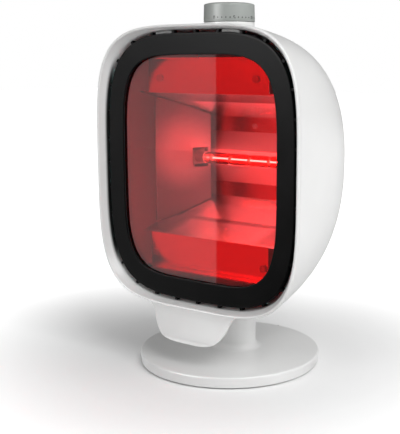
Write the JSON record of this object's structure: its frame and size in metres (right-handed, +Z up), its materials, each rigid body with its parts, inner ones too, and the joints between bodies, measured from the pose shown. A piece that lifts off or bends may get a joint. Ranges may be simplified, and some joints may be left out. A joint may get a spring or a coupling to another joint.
{
  "type": "infrared heat therapy lamp",
  "caption": "Table infrared heat lamp: deep white head with a red glass window, halogen tube, fan and timer knob, tilting on a round weighted foot.",
  "frame": {"origin": "on the table surface under the middle of the lamp's overall width and depth, head upright; the foot's middle is 6.4 mm further forward", "axes": "+Z up, front of the lamp with the red window towards -Y, +X to the viewer's right when facing the window"},
  "size_m": [0.2078, 0.1734, 0.3129],
  "materials": {
    "white_plastic": "satin gloss",
    "black_plastic": "satin",
    "grey_plastic": "satin",
    "clip_plastic": "matte",
    "black_nylon": "matte",
    "red_glass": "polished",
    "quartz_glass": "clear",
    "mirror_metal": "bright anodised",
    "steel": "zinc plated",
    "iron": "rough",
    "tungsten": "glowing",
    "ceramic": "matte",
    "rubber": "matte",
    "silicone": "matte"
  },
  "bodies": {
    "foot": {"foot_cover": "white_plastic", "foot_weight": "iron", "foot_floor": "black_plastic", "cord_gland": "black_plastic", "floor_screw_1": "steel", "floor_screw_2": "steel", "floor_screw_3": "steel", "rubber_pad_1": "rubber", "rubber_pad_2": "rubber", "rubber_pad_3": "rubber", "rubber_pad_4": "rubber"},
    "head": {"bracket_screw_left": "steel", "bracket_screw_right": "steel", "fan_frame": "black_nylon", "fan_screw_1": "steel", "fan_screw_2": "steel", "fan_screw_3": "steel", "fan_screw_4": "steel", "friction_washer_left": "black_nylon", "friction_washer_right": "black_nylon", "front_rim": "white_plastic", "front_seal": "silicone", "lamp_cap_left": "ceramic", "lamp_cap_right": "ceramic", "lamp_filament": "tungsten", "lamp_holder_left": "ceramic", "lamp_holder_right": "ceramic", "lamp_tube": "quartz_glass", "mirror_screw_1": "steel", "mirror_screw_2": "steel", "mirror_screw_3": "steel", "mirror_screw_4": "steel", "rear_seal": "silicone", "rear_shell": "white_plastic", "red_window": "red_glass", "reflector": "mirror_metal", "reflector_end_left": "mirror_metal", "reflector_end_right": "mirror_metal", "ring_clip_left": "clip_plastic", "ring_clip_right": "clip_plastic", "shell_screw_1": "steel", "shell_screw_2": "steel", "shell_screw_3": "steel", "shell_screw_4": "steel", "terminal_block": "ceramic", "thermal_cutout": "steel", "tilt_bracket_left": "steel", "tilt_bracket_right": "steel", "tilt_nut": "steel", "tilt_pin": "steel", "timer_case": "black_nylon", "timer_nut": "steel", "window_ring": "black_plastic"},
    "knob": {"timer_knob": "grey_plastic", "timer_shaft": "steel"},
    "rotor": {"fan_rotor": "black_nylon"}
  },
  "joints": [
    {"name": "head_tilt", "type": "hinge", "parent": "foot", "child": "head", "pos_m": [0, 0.0026, 0.08], "axis": [-1, 0, 0], "range_deg": [0, 40]},
    {"name": "timer_turn", "type": "hinge", "parent": "head", "child": "knob", "pos_m": [0, -0.0064, 0.29], "axis": [0, 0, -1], "range_deg": [0, 140]},
    {"name": "fan_spin", "type": "hinge", "parent": "head", "child": "rotor", "pos_m": [0, 0.0616, 0.1794], "axis": [0, 1, 0], "continuous": true}
  ]
}
